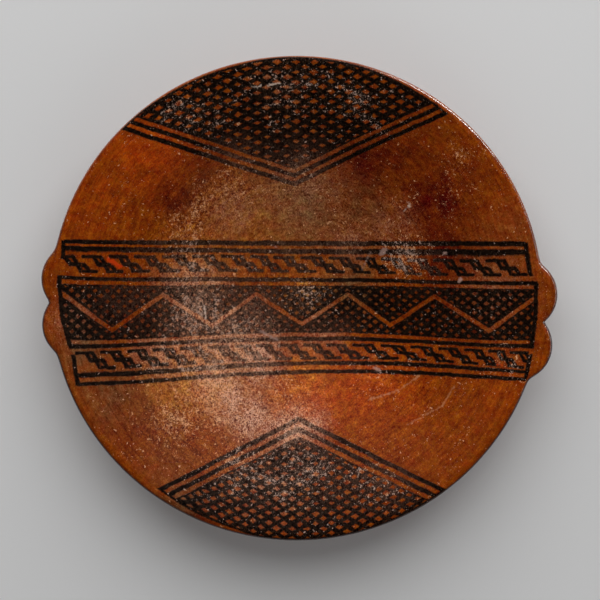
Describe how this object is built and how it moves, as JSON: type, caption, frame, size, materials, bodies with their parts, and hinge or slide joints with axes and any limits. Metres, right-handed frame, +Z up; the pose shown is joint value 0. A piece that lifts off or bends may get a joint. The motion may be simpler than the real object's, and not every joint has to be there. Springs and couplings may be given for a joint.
{
  "type": "pottery plate",
  "caption": "Shallow round plate of burnished fired clay with a flaring brim, two pairs of small rim nubs and a black geometric painted inside.",
  "frame": {"origin": "middle of the flat foot, on the surface that the plate stands on", "axes": "+Z up out of the plate, +X along the painted band towards the larger pair of nubs"},
  "size_m": [0.2323, 0.219, 0.0382],
  "materials": {
    "fired_clay": "burnished red-brown slip with worn black line painting inside"
  },
  "bodies": {
    "root": {"plate": "fired_clay"}
  },
  "joints": []
}
